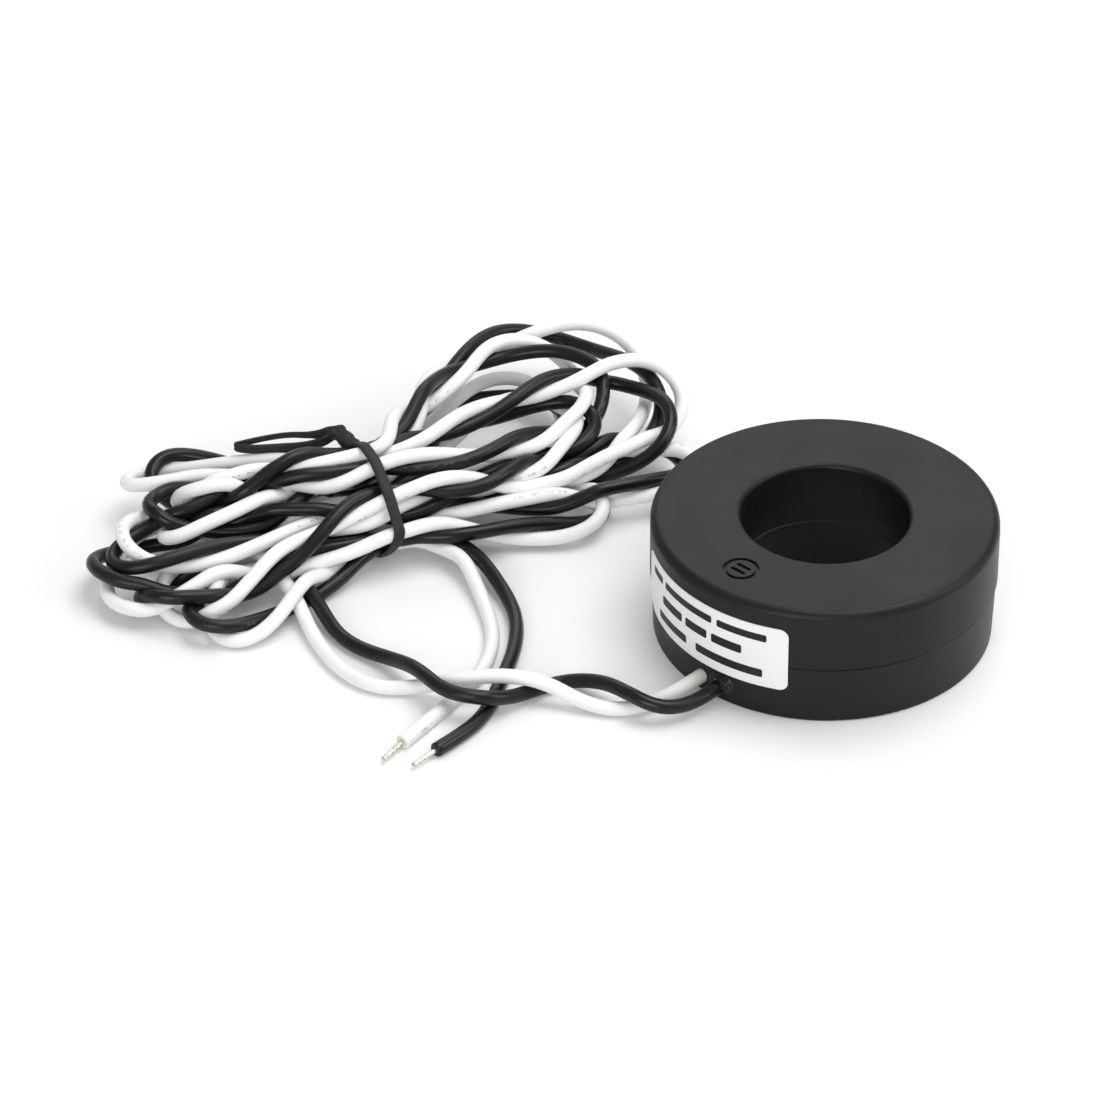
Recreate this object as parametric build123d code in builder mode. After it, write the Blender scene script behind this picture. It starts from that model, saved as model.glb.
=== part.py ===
"""Solid-core current transformer: a ring housing with a window, and a hanked pair of leads.

The origin is the centre of the window at the base of the housing. +Z runs up the window and
the leads leave the wall towards -X and -Y. Lengths are in millimetres, angles in degrees.
"""

import os
from math import cos, degrees, radians, sin, tan

from build123d import *

# Housing, two moulded shells that meet at a lapped joint
case_diameter = 52.5
case_height = 19.8
window_diameter = 25.0
outer_wall = 1.65
sleeve_wall = 1.5
base_thickness = 1.2
top_thickness = 1.6
joint_height = 9.7
lower_step = 0.2
lower_draft = 2.0
window_step = 0.15
joint_groove = 0.22
lap_height = 1.2
outer_tongue = 0.75
sleeve_tongue = 0.7
lap_clearance = 0.05
lap_end_clearance = 0.1
top_edge_radius = 1.35
window_edge_radius = 0.8
base_edge_radius = 0.4

# Mark recessed in the top plate, midway between the window and the wall
mark_diameter = 5.5
mark_depth = 0.35
mark_groove = 0.6
mark_bar_length = 2.6
mark_bar_width = 0.6
mark_bar_pitch = 1.3

# Lead exits, side by side through the wall of the lower shell
exit_azimuth = -132.6
lead_spacing = 3.72
lead_diameter = 2.25
lead_hole_clearance = 0.1
lead_outside = 1.7
seal_radius = 1.6
seal_height = 1.0
seal_shift = 0.45

# Winding seats and the winding, built up from the core outwards
seat_count = 3
seat_width = 1.4
seat_clearance = 0.6
head_clearance = 0.5
ring_clearance = 0.7
tape_thickness = 0.25
winding_outer = 0.8
winding_inner = 1.2
winding_end = 0.95
winding_corner = 1.0
box_wall = 0.7
lid_spigot = 0.5
core_clearance = 0.1

# Splices between the winding's ends and the leads
sleeve_thickness = 0.35
sleeve_clearance = 0.05
sleeve_overlap = 1.6
joint_diameter = 1.0
joint_length = 2.8
winding_end_diameter = 0.4
winding_end_bend = 0.8
winding_end_inset = 1.3

# Label on the wall, over the joint of the shells
label_length = 31.0
label_azimuth = -138.0
label_thickness = 0.12
label_corner = 1.4
label_bottom_margin = 1.5
label_top_margin = 3.3
label_bridge = 0.6

# Free ends of the leads and the wire tie
conductor_diameter = 0.8
strip_length = 5.1
tie_width = 2.0
tie_thickness = 0.6
tie_knot_offset = 4.0
tie_knot_length = 3.2
tie_knot_turns = 4
tie_knot_turn = 35
tie_loop_length = 17.0
tie_loop_width = 3.2
tie_loop_heading = 176
tie_loop_drop = 1.5

# Worked out from the sizes above
case_radius = case_diameter / 2
window_radius = window_diameter / 2
upper_window_radius = window_radius + window_step
cavity_outer = case_radius - outer_wall
cavity_inner = window_radius + sleeve_wall
cavity_top = case_height - top_thickness
cavity_middle = (cavity_outer + cavity_inner) / 2
lower_top_radius = case_radius - lower_step
lower_base_radius = lower_top_radius - joint_height * tan(radians(lower_draft))
lead_radius = lead_diameter / 2
sleeve_radius = lead_radius + sleeve_clearance + sleeve_thickness
exit_height = base_thickness + sleeve_radius
seat_height = exit_height + sleeve_radius + seat_clearance
tape_top = cavity_top - head_clearance
label_bottom = exit_height + lead_radius + label_bottom_margin
label_top = case_height - label_top_margin

# Directions at the lead exits: outwards through the wall, and along it
out = Vector(cos(radians(exit_azimuth)), sin(radians(exit_azimuth)), 0)
along = Vector(-out.Y, out.X, 0)

# The outer shape of the hank, as upright ellipses: centre x, y, heading, half width, height, bottom
hank_sections = [
    (-111.8, 7.0, 20, 6.5, 6.0, 0.0),
    (-107.0, 9.6, 20, 14.0, 10.0, 0.0),
    (-100.0, 11.6, 20, 20.5, 12.0, 0.0),
    (-90.0, 14.2, 20, 21.5, 13.0, 0.0),
    (-79.5, 17.8, 20, 15.5, 14.0, 0.0),
    (-68.6, 21.8, 20, 11.0, 14.4, tie_thickness),
    (-61.4, 25.6, 30, 13.5, 15.0, 0.0),
    (-53.0, 33.4, 38, 19.5, 15.0, 0.0),
    (-43.0, 42.6, 42, 24.5, 14.0, 0.0),
    (-33.4, 52.4, 45, 24.5, 11.0, 0.0),
    (-26.5, 59.6, 45, 17.0, 9.0, 0.0),
    (-22.0, 64.2, 45, 7.0, 5.0, 0.0),
]
waist = hank_sections[5]

# Routes of the leads: x, y and the lift of the wire off the surface, chosen by hand
white_lead_route = [
    (-25.6, -20.9, 0.55),
    (-34.4, -22.9, 0.0),
    (-43.2, -21.2, 2.95),
    (-49.4, -19.4, 2.8),
    (-55.6, -19.3, 2.95),
    (-60.8, -18.0, 0.1),
    (-67.6, -15.0, 0.0),
    (-72.6, -8.0, 0.2),
    (-77.0, -0.8, 1.7),
    (-82.0, 7.0, 3.15),
]
black_lead_route = [
    (-21.6, -24.4, 1.15),
    (-26.6, -24.7, 2.1),
    (-31.6, -22.6, 3.0),
    (-37.2, -18.8, 0.95),
    (-42.0, -19.0, 0.0),
    (-46.4, -22.3, 0.6),
    (-51.8, -24.4, 2.9),
    (-57.4, -22.6, 3.0),
    (-61.8, -17.4, 3.2),
    (-66.4, -10.4, 0.5),
    (-73.0, -3.4, 0.0),
    (-78.6, 6.8, 0.25),
]
white_tail_route = [
    (-58.6, 19.5, 4.1),
    (-55.0, 12.2, 2.3),
    (-51.6, 3.4, 0.0),
    (-50.0, -5.6, 0.0),
    (-52.2, -14.6, 0.0),
    (-56.8, -21.6, 0.0),
    (-60.4, -27.6, 0.0),
    (-64.0, -32.6, 0.0),
]
black_tail_route = [
    (-55.0, 19.6, 3.3),
    (-51.6, 11.8, 1.3),
    (-47.8, 3.8, 0.0),
    (-46.6, -5.4, 0.0),
    (-48.4, -14.2, 0.0),
    (-50.4, -21.6, 0.0),
    (-54.2, -28.6, 0.0),
    (-59.2, -34.0, 0.0),
]


def lower_wall_radius(height):
    """Outer radius of the drafted lower shell at a height."""
    return lower_base_radius + height * tan(radians(lower_draft))


def exit_point(side, radius, height=exit_height):
    """Point on a lead's straight line through the wall. side is -1 for white, 1 for black."""
    return out * radius + along * (side * lead_spacing / 2) + Vector(0, 0, height)


def exit_plane(side, radius):
    """Plane across a lead's straight line, facing outwards."""
    return Plane(origin=exit_point(side, radius), x_dir=along, z_dir=out)


def upright_plane(x, y, height, heading):
    """Upright plane whose normal points along a heading. Its own x runs to the left of it."""
    left = (-sin(radians(heading)), cos(radians(heading)), 0)
    return Plane(origin=(x, y, height), x_dir=left, z_dir=(cos(radians(heading)), sin(radians(heading)), 0))


def add_ring(inner, outer, bottom, top, corner=0.0, mode=Mode.ADD):
    """Add or take away a ring round the window, with its section's corners cut if asked."""
    with BuildSketch(Plane.XZ) as section:
        with Locations(((inner + outer) / 2, (bottom + top) / 2)):
            Rectangle(outer - inner, top - bottom)
        if corner > 0:
            chamfer(section.vertices(), corner)
    revolve(section.sketch, axis=Axis.Z, mode=mode)


def corner_radii(points):
    """Largest arc that two runs allow at each corner: 0.45 of the shorter, over tan of half the turn."""
    radii = []
    for before, corner, after in zip(points, points[1:], points[2:]):
        run_in = corner - before
        run_out = after - corner
        half_turn = radians(run_in.get_angle(run_out)) / 2
        radii.append(0.45 * min(run_in.length, run_out.length) / tan(half_turn))
    return radii


def sweep_wire(name, points, radius):
    """Sweep a round wire along straight runs joined by tangent arcs, and return its end."""
    radii = corner_radii(points)
    print(name, "arc radii", [round(value, 1) for value in radii])
    with BuildLine() as path:
        FilletPolyline(*points, radius=radii)
    wire = path.wires()[0]
    with BuildSketch(Plane(origin=wire @ 0, z_dir=wire % 0)) as section:
        Circle(radius)
    solid = sweep(section.sketch, path=wire)
    expected = 3.14159 * radius**2 * wire.length
    print(name, "length", round(wire.length, 1), "volume ratio", round(solid.volume / expected, 4))
    return Plane(origin=wire @ 1, z_dir=wire % 1)


def lifted(route):
    """Turn a route's lifts into heights of the wire's centre."""
    return [Vector(x, y, lead_radius + lift) for x, y, lift in route]


# --- Stack inside the housing: tape, winding, core box and core ---

tape_ring = (
    cavity_inner + ring_clearance,
    cavity_outer - ring_clearance,
    seat_height,
    tape_top,
    winding_corner + tape_thickness * tan(radians(22.5)),
)
winding_ring = (
    tape_ring[0] + tape_thickness,
    tape_ring[1] - tape_thickness,
    tape_ring[2] + tape_thickness,
    tape_ring[3] - tape_thickness,
    winding_corner,
)
box_ring = (
    winding_ring[0] + winding_inner,
    winding_ring[1] - winding_outer,
    winding_ring[2] + winding_end,
    winding_ring[3] - winding_end,
)
pocket_inner = box_ring[0] + box_wall
pocket_outer = box_ring[1] - box_wall
pocket_bottom = box_ring[2] + box_wall
lid_bottom = box_ring[3] - box_wall

with BuildPart() as core:
    add_ring(
        pocket_inner + core_clearance,
        pocket_outer - core_clearance,
        pocket_bottom,
        lid_bottom - lid_spigot,
    )

with BuildPart() as core_box_base:
    add_ring(*box_ring)
    add_ring(pocket_inner, pocket_outer, pocket_bottom, box_ring[3], mode=Mode.SUBTRACT)
    split(bisect_by=Plane.XY.offset(lid_bottom), keep=Keep.BOTTOM)

with BuildPart() as core_box_lid:
    add_ring(*box_ring)
    split(bisect_by=Plane.XY.offset(lid_bottom), keep=Keep.TOP)
    add_ring(
        pocket_inner + core_clearance,
        pocket_outer - core_clearance,
        lid_bottom - lid_spigot,
        lid_bottom,
    )

with BuildPart() as secondary_winding:
    add_ring(*winding_ring)
    add_ring(*box_ring, mode=Mode.SUBTRACT)

# Winding ends drop out of the winding near its inner edge and turn to meet the leads. The
# splice stands midway between their bend and the wall.
winding_end_radius = winding_end_diameter / 2
drop_radius = winding_ring[0] + winding_end_inset
splice_room = cavity_outer - drop_radius - winding_end_bend - joint_length - sleeve_overlap
joint_end = drop_radius + winding_end_bend + splice_room / 2
lead_end = joint_end + joint_length

with BuildPart() as winding_tape:
    add_ring(*tape_ring)
    add_ring(*winding_ring, mode=Mode.SUBTRACT)
    for side in (-1, 1):
        hole_centre = exit_point(side, drop_radius, tape_ring[2])
        with BuildSketch(Plane(origin=hole_centre)):
            Circle(winding_end_radius + sleeve_clearance)
        extrude(amount=tape_thickness, both=True, mode=Mode.SUBTRACT)


def winding_end_wire(side):
    """Enamelled wire from the winding's underside down to the splice."""
    start = exit_point(side, drop_radius, winding_ring[2])
    with BuildLine() as path:
        FilletPolyline(
            start,
            exit_point(side, drop_radius),
            exit_point(side, joint_end),
            radius=winding_end_bend,
        )
    with BuildSketch(Plane(origin=start)) as section:
        Circle(winding_end_radius)
    sweep(section.sketch, path=path.wires()[0])


def solder_joint(side):
    """Barrel of solder between the lead's cut end and the winding's end."""
    with BuildSketch(exit_plane(side, joint_end)) as section:
        Circle(joint_diameter / 2)
    extrude(section.sketch, amount=joint_length)
    chamfer(edges().filter_by(GeomType.CIRCLE), joint_diameter / 8)


def splice_sleeve(side):
    """Insulating sleeve over the lead's end and the whole solder joint."""
    with BuildSketch(exit_plane(side, joint_end)) as section:
        Circle(sleeve_radius)
        Circle(lead_radius + sleeve_clearance, mode=Mode.SUBTRACT)
    extrude(section.sketch, amount=joint_length + sleeve_overlap)


with BuildPart() as white_winding_end:
    winding_end_wire(-1)

with BuildPart() as black_winding_end:
    winding_end_wire(1)

with BuildPart() as white_solder_joint:
    solder_joint(-1)

with BuildPart() as black_solder_joint:
    solder_joint(1)

with BuildPart() as white_splice_sleeve:
    splice_sleeve(-1)

with BuildPart() as black_splice_sleeve:
    splice_sleeve(1)

# --- Leads: white and black, from the splice through the wall to the hank ---

with BuildPart() as white_lead:
    sweep_wire(
        "white_lead",
        [exit_point(-1, lead_end), exit_point(-1, lower_base_radius + lead_outside)]
        + lifted(white_lead_route),
        lead_radius,
    )

with BuildPart() as black_lead:
    sweep_wire(
        "black_lead",
        [exit_point(1, lead_end), exit_point(1, lower_base_radius + lead_outside)]
        + lifted(black_lead_route),
        lead_radius,
    )

# --- Housing ---

with BuildPart() as lower_shell:
    with BuildSketch(Plane.XZ):
        with BuildLine():
            Polyline(
                (window_radius, 0),
                (lower_base_radius, 0),
                (lower_wall_radius(joint_height - joint_groove), joint_height - joint_groove),
                (lower_top_radius - joint_groove, joint_height),
                (cavity_outer + outer_tongue, joint_height),
                (cavity_outer + outer_tongue, joint_height + lap_height),
                (cavity_outer, joint_height + lap_height),
                (cavity_outer, base_thickness),
                (cavity_inner, base_thickness),
                (cavity_inner, joint_height + lap_height),
                (cavity_inner - sleeve_tongue, joint_height + lap_height),
                (cavity_inner - sleeve_tongue, joint_height),
                (window_radius + joint_groove, joint_height),
                (window_radius, joint_height - joint_groove),
                close=True,
            )
        make_face()
    revolve(axis=Axis.Z)
    base_rims = edges().filter_by(GeomType.CIRCLE).group_by(Axis.Z)[0]
    fillet(base_rims, base_edge_radius)
    # Seats between the leads, reaching from the sleeve to the wall
    with BuildSketch(Plane.XY.offset(base_thickness)):
        with PolarLocations(cavity_middle, seat_count, start_angle=exit_azimuth + 60):
            Rectangle(cavity_outer - cavity_inner + lap_clearance, seat_width)
    extrude(amount=seat_height - base_thickness)
    for side in (-1, 1):
        with BuildSketch(exit_plane(side, cavity_middle)):
            Circle(lead_radius + lead_hole_clearance)
        extrude(amount=case_radius - cavity_middle, mode=Mode.SUBTRACT)

with BuildPart() as upper_shell:
    outer_rebate = cavity_outer + outer_tongue + lap_clearance
    sleeve_rebate = cavity_inner - sleeve_tongue - lap_clearance
    rebate_top = joint_height + lap_height + lap_end_clearance
    with BuildSketch(Plane.XZ):
        with BuildLine():
            Polyline(
                (upper_window_radius, joint_height),
                (sleeve_rebate, joint_height),
                (sleeve_rebate, rebate_top),
                (cavity_inner, rebate_top),
                (cavity_inner, cavity_top),
                (cavity_outer, cavity_top),
                (cavity_outer, rebate_top),
                (outer_rebate, rebate_top),
                (outer_rebate, joint_height),
                (case_radius - joint_groove, joint_height),
                (case_radius, joint_height + joint_groove),
                (case_radius, case_height),
                (upper_window_radius, case_height),
                close=True,
            )
        make_face()
    revolve(axis=Axis.Z)
    top_rims = edges().filter_by(GeomType.CIRCLE).group_by(Axis.Z)[-1].sort_by(SortBy.RADIUS)
    fillet(top_rims[-1], top_edge_radius)
    fillet(top_rims[0], window_edge_radius)
    # Round mark with two plain bars, sunk in the top plate over the lead exits
    mark_centre = out * ((case_radius + window_radius) / 2) + Vector(0, 0, case_height)
    with BuildSketch(Plane(origin=mark_centre, x_dir=along)):
        Circle(mark_diameter / 2)
        Circle(mark_diameter / 2 - mark_groove, mode=Mode.SUBTRACT)
        with GridLocations(0, mark_bar_pitch, 1, 2):
            SlotOverall(mark_bar_length, mark_bar_width)
    extrude(amount=-mark_depth, mode=Mode.SUBTRACT)

# --- Potting resin: the cavity less all that stands in it ---

with BuildPart() as potting_resin:
    add_ring(cavity_inner, cavity_outer, base_thickness, cavity_top)
    add_ring(*tape_ring, mode=Mode.SUBTRACT)
    add(lower_shell.part, mode=Mode.SUBTRACT)
    for side, lead, end in (
        (-1, white_lead, white_winding_end),
        (1, black_lead, black_winding_end),
    ):
        with BuildSketch(exit_plane(side, joint_end)):
            Circle(sleeve_radius)
        extrude(amount=joint_length + sleeve_overlap, mode=Mode.SUBTRACT)
        add(lead.part, mode=Mode.SUBTRACT)
        add(end.part, mode=Mode.SUBTRACT)

# --- Exit seal: a drop of resin beside the black lead, on the wall ---

with BuildPart() as exit_seal:
    seal_centre = exit_point(1, cavity_outer) + along * seal_shift - Vector(0, 0, seal_shift)
    with BuildSketch(Plane(origin=seal_centre, x_dir=along, z_dir=out)):
        Circle(seal_radius)
    extrude(amount=lower_base_radius - cavity_outer + seal_height)
    chamfer(faces().sort_by(Axis(origin=(0, 0, 0), direction=out))[-1].edges(), seal_height * 0.6)
    add(lower_shell.part, mode=Mode.SUBTRACT)
    add(potting_resin.part, mode=Mode.SUBTRACT)
    add(black_lead.part, mode=Mode.SUBTRACT)
    seal_pieces = solids().sort_by(SortBy.VOLUME)
    for scrap in seal_pieces[:-1]:
        add(scrap, mode=Mode.SUBTRACT)

# --- Label: follows the wall and bridges the step at the joint ---

with BuildPart() as label:
    label_angle = degrees(label_length / case_radius)
    start = radians(label_azimuth - label_angle / 2)
    wall_line = [
        (lower_wall_radius(label_bottom), label_bottom),
        (lower_wall_radius(joint_height - label_bridge), joint_height - label_bridge),
        (case_radius, joint_height),
        (case_radius, label_top),
    ]
    with BuildSketch(Plane(origin=(0, 0, 0), x_dir=(cos(start), sin(start), 0), z_dir=(sin(start), -cos(start), 0))):
        with BuildLine():
            Polyline(*wall_line, *[(r + label_thickness, z) for r, z in reversed(wall_line)], close=True)
        make_face()
    revolve(axis=Axis.Z, revolution_arc=label_angle)
    middle = radians(label_azimuth)
    facing = Plane(
        origin=(0, 0, (label_bottom + label_top) / 2),
        x_dir=(-sin(middle), cos(middle), 0),
        z_dir=(cos(middle), sin(middle), 0),
    )
    with BuildSketch(facing):
        chord = 2 * (case_radius + label_thickness) * sin(radians(label_angle / 2))
        RectangleRounded(chord, label_top - label_bottom, label_corner)
    extrude(amount=case_diameter, mode=Mode.INTERSECT)

# --- Hank, free ends and the wire tie ---

with BuildPart() as lead_hank:
    for x, y, heading, half_width, height, bottom in hank_sections:
        with BuildSketch(upright_plane(x, y, bottom + height / 2, heading)):
            Ellipse(half_width, height / 2)
    loft(ruled=True)

with BuildPart() as white_tail:
    white_tail_end = sweep_wire("white_tail", lifted(white_tail_route), lead_radius)

with BuildPart() as black_tail:
    black_tail_end = sweep_wire("black_tail", lifted(black_tail_route), lead_radius)

with BuildPart() as white_conductor:
    with BuildSketch(white_tail_end):
        Circle(conductor_diameter / 2)
    extrude(amount=strip_length)

with BuildPart() as black_conductor:
    with BuildSketch(black_tail_end):
        Circle(conductor_diameter / 2)
    extrude(amount=strip_length)

with BuildPart() as twist_tie:
    waist_x, waist_y, waist_heading, waist_half_width, waist_height, waist_bottom = waist
    middle_height = waist_bottom + waist_height / 2
    with BuildSketch(upright_plane(waist_x, waist_y, middle_height, waist_heading)):
        Ellipse(waist_half_width + tie_thickness, waist_height / 2 + tie_thickness)
    extrude(amount=tie_width / 2, both=True)
    # Twisted knot on the band's crown: a flat section turned as it rises
    crown = upright_plane(waist_x, waist_y, waist_bottom + waist_height, waist_heading)
    knot_foot = crown.origin + crown.x_dir * tie_knot_offset
    knot_rise = Vector(-cos(radians(waist_heading)), -sin(radians(waist_heading)), 0.9)
    for turn in range(tie_knot_turns + 1):
        knot_base = knot_foot + knot_rise.normalized() * (turn * tie_knot_length / tie_knot_turns)
        knot_plane = Plane(origin=knot_base, x_dir=crown.x_dir, z_dir=knot_rise)
        with BuildSketch(knot_plane):
            Ellipse(tie_width * 0.7, tie_thickness * 1.2, rotation=turn * tie_knot_turn)
    loft(ruled=True)
    # Tail folded back on itself into a long flat loop that lies over the hank
    knot_tip = knot_foot + knot_rise.normalized() * (tie_knot_length / 2)
    loop_direction = Vector(
        cos(radians(tie_loop_heading)) * tie_loop_length,
        sin(radians(tie_loop_heading)) * tie_loop_length,
        -tie_loop_drop,
    )
    loop_normal = loop_direction.cross(Vector(0, 0, 1)).cross(loop_direction)
    with BuildSketch(Plane(origin=knot_tip + loop_direction / 2, x_dir=loop_direction, z_dir=loop_normal)):
        SlotOverall(tie_loop_length, tie_loop_width)
        SlotOverall(tie_loop_length - 2 * tie_thickness, tie_loop_width - 2 * tie_thickness, mode=Mode.SUBTRACT)
    extrude(amount=tie_width / 2, both=True)
    add(lead_hank.part, mode=Mode.SUBTRACT)

nodes = {
    "upper_shell": upper_shell,
    "lower_shell": lower_shell,
    "core": core,
    "core_box_base": core_box_base,
    "core_box_lid": core_box_lid,
    "secondary_winding": secondary_winding,
    "winding_tape": winding_tape,
    "white_winding_end": white_winding_end,
    "black_winding_end": black_winding_end,
    "white_solder_joint": white_solder_joint,
    "black_solder_joint": black_solder_joint,
    "white_splice_sleeve": white_splice_sleeve,
    "black_splice_sleeve": black_splice_sleeve,
    "potting_resin": potting_resin,
    "exit_seal": exit_seal,
    "label": label,
    "white_lead": white_lead,
    "black_lead": black_lead,
    "lead_hank": lead_hank,
    "white_tail": white_tail,
    "black_tail": black_tail,
    "white_conductor": white_conductor,
    "black_conductor": black_conductor,
    "twist_tie": twist_tie,
}

os.makedirs("parts", exist_ok=True)
for name, piece in nodes.items():
    piece.part.label = name
    export_step(piece.part, f"parts/{name}.step")
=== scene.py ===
"""A solid-core current transformer with its two leads folded into a tied hank, dressed over the
CAD frame. Lengths are in mm and angles in degrees, except in the sections that say otherwise."""

import math

import bpy
import numpy as np
from mathutils import Matrix, Vector
from mathutils.kdtree import KDTree


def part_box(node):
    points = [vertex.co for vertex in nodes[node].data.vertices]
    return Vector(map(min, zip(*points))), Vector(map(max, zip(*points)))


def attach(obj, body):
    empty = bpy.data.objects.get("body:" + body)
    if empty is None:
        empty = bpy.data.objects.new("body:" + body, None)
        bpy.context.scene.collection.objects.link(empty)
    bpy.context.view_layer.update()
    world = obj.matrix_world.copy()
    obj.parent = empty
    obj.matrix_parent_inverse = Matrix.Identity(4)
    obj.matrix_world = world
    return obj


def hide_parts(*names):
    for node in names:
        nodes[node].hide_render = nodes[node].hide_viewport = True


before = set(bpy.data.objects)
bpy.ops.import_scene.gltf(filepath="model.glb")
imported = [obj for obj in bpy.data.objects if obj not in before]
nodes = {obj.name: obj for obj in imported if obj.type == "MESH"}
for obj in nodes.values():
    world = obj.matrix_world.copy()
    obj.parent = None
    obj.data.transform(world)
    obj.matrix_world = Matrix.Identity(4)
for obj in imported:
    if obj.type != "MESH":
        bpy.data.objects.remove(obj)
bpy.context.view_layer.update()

MM = 0.001
wire = 2.25  # lead diameter over its jacket
floor_gap = wire / 2  # height of a wire's centre when it lies on the floor
upward = np.array([0.0, 0.0, 1.0])

# ------------ camera, in metres

camera_place = (-0.0413, -0.6413, 0.46636)
camera_dip, camera_roll = 35.24, -0.373
camera_lens, camera_sensor = 170.6, 36.0
camera_near, camera_far = 0.05, 20.0


def make_camera():
    """The camera, looking down on the object from the front."""
    camera = bpy.data.objects.new("camera", bpy.data.cameras.new("camera"))
    camera.data.sensor_width = camera_sensor
    camera.data.lens = camera_lens
    camera.data.clip_start, camera.data.clip_end = camera_near, camera_far
    pitch, roll = math.radians(90.0 - camera_dip), math.radians(camera_roll)
    turn = Matrix.Rotation(pitch, 4, "X") @ Matrix.Rotation(roll, 4, "Z")
    camera.matrix_world = Matrix.Translation(camera_place) @ turn
    bpy.context.scene.collection.objects.link(camera)
    bpy.context.scene.camera = camera


make_camera()

# ------------ lines and meshes


def heading(degrees):
    """The level direction at this angle from the x axis."""
    return np.array([math.cos(math.radians(degrees)), math.sin(math.radians(degrees)), 0.0])


def smooth(value):
    """0 to 1, with a soft start and end."""
    value = min(1.0, max(0.0, value))
    return value * value * (3 - 2 * value)


def unit_rows(vectors):
    """The vectors, one in each row, made one long."""
    return vectors / np.linalg.norm(vectors, axis=1)[:, None]


def travelled(line):
    """How far along a line each of its points is."""
    return np.concatenate([[0], np.cumsum(np.linalg.norm(np.diff(line, axis=0), axis=1))])


def spaced(line, step):
    """The line again, with points about step apart."""
    along = travelled(line)
    at = np.linspace(0, along[-1], max(2, round(along[-1] / step) + 1))
    return np.stack([np.interp(at, along, line[:, k]) for k in range(3)], axis=1)


def spline_line(points, step):
    """Points read from the NURBS spline that has these control points."""
    curve = bpy.data.curves.new("route", "CURVE")
    curve.dimensions = "3D"
    spline = curve.splines.new("NURBS")
    spline.points.add(len(points) - 1)
    for point, place in zip(spline.points, points):
        point.co = (place[0] * MM, place[1] * MM, place[2] * MM, 1)
    spline.order_u = 3
    spline.use_endpoint_u = True
    curve.resolution_u = 12
    holder = bpy.data.objects.new("route", curve)
    mesh = bpy.data.meshes.new_from_object(holder)
    line = np.array([vertex.co[:] for vertex in mesh.vertices]) / MM
    bpy.data.objects.remove(holder)
    bpy.data.curves.remove(curve)
    bpy.data.meshes.remove(mesh)
    return spaced(line, step)


def carried(values, points, count):
    """Values that belong to control points, at so many even steps along the line through them."""
    along = travelled(points)
    return np.interp(np.linspace(0, along[-1], count), along, values)


def grid_faces(rows, columns, round_columns):
    """Faces of a grid of vertices, closed across its columns if asked."""
    faces = []
    for row in range(rows - 1):
        for k in range(columns if round_columns else columns - 1):
            a, b = row * columns + k, row * columns + (k + 1) % columns
            faces.append((a, a + columns, b + columns, b))
    return faces


def end_faces(rows, columns):
    """The two faces that close the ends of a grid that is a tube."""
    last = (rows - 1) * columns
    return [tuple(range(columns)), tuple(reversed(range(last, last + columns)))]


def mesh_object(name, vertices, faces, smooth_faces=True):
    """A mesh object made from vertices in mm."""
    mesh = bpy.data.meshes.new(name)
    mesh.from_pydata([tuple(float(c) * MM for c in v) for v in vertices], [], faces)
    mesh.validate()
    for polygon in mesh.polygons:
        polygon.use_smooth = smooth_faces
    thing = bpy.data.objects.new(name, mesh)
    bpy.context.scene.collection.objects.link(thing)
    return thing


# ------------ routes of the cords

# The free stretches: x, y and the height above lying on the floor, as in the CAD routes.
white_lead_route = [
    (-15.80, -14.44, 1.6), (-19.92, -18.92, 1.6),
    (-25.2, -22.2, 0.3), (-30.8, -24.4, 0.0), (-36.6, -22.6, 0.2), (-42.4, -20.4, 2.95),
    (-48.8, -19.0, 3.0), (-55.4, -19.9, 2.9), (-60.8, -18.2, 0.1), (-67.2, -18.4, 0.0),
    (-72.4, -14.2, 0.0), (-76.0, -8.0, 0.0), (-78.8, -0.6, 0.5), (-81.0, 6.8, 2.6),
]
black_lead_route = [
    (-13.07, -16.96, 1.6), (-17.19, -21.44, 1.6),
    (-21.2, -24.9, 1.3), (-25.6, -26.4, 2.0), (-29.8, -24.0, 3.1), (-33.4, -19.2, 1.8),
    (-38.6, -16.4, 0.0), (-43.6, -18.6, 0.0), (-47.2, -22.4, 1.1), (-51.8, -25.2, 3.3),
    (-57.2, -23.4, 3.1), (-61.2, -17.6, 3.4), (-65.4, -11.4, 0.5), (-71.0, -7.8, 0.0),
    (-75.0, -2.2, 0.1), (-77.4, 5.4, 0.6),
]
white_tail_route = [
    (-58.0, 19.5, 4.1), (-54.4, 12.4, 1.8), (-51.4, 3.6, 0.0), (-49.6, -5.6, 0.0),
    (-51.4, -14.6, 0.0), (-56.2, -21.8, 0.0), (-60.2, -27.4, 0.0), (-64.0, -32.6, 0.0),
]
black_tail_route = [
    (-54.8, 19.6, 3.3), (-51.2, 11.6, 1.3), (-47.8, 5.0, 0.1), (-46.2, -1.8, 0.0),
    (-46.8, -9.6, 0.0), (-49.0, -17.6, 0.0), (-51.0, -25.2, 0.0), (-55.0, -30.4, 0.0),
    (-59.2, -34.4, 0.0),
]

# The tie stands across the hank, whose runs pass it with this heading.
tie_heading = 25
tie_ahead, tie_back = heading(tie_heading), heading(tie_heading + 90)
tie_place = np.array([-68.6, 21.8, 0.0])
tie_middle = tie_place - tie_back * 0.5 + (0, 0, 8.2)

# Where each run of the pair passes the tie, in the order in which it was wound:
# distance towards the back, and height.
first_slot = (8.4, 3.4)
tie_slots = [
    (7.4, 4.6), (3.6, 3.0), (-4.2, 11.6), (3.8, 11.6), (-0.4, 14.0), (3.2, 14.6), (7.2, 8.6),
    (-0.6, 10.4), (-5.6, 8.0), (2.6, 7.2), (-2.2, 6.4), (-1.0, 8.4), (-8.2, 5.2), (-1.2, 3.0),
    (-6.4, 2.4),
]
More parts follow.
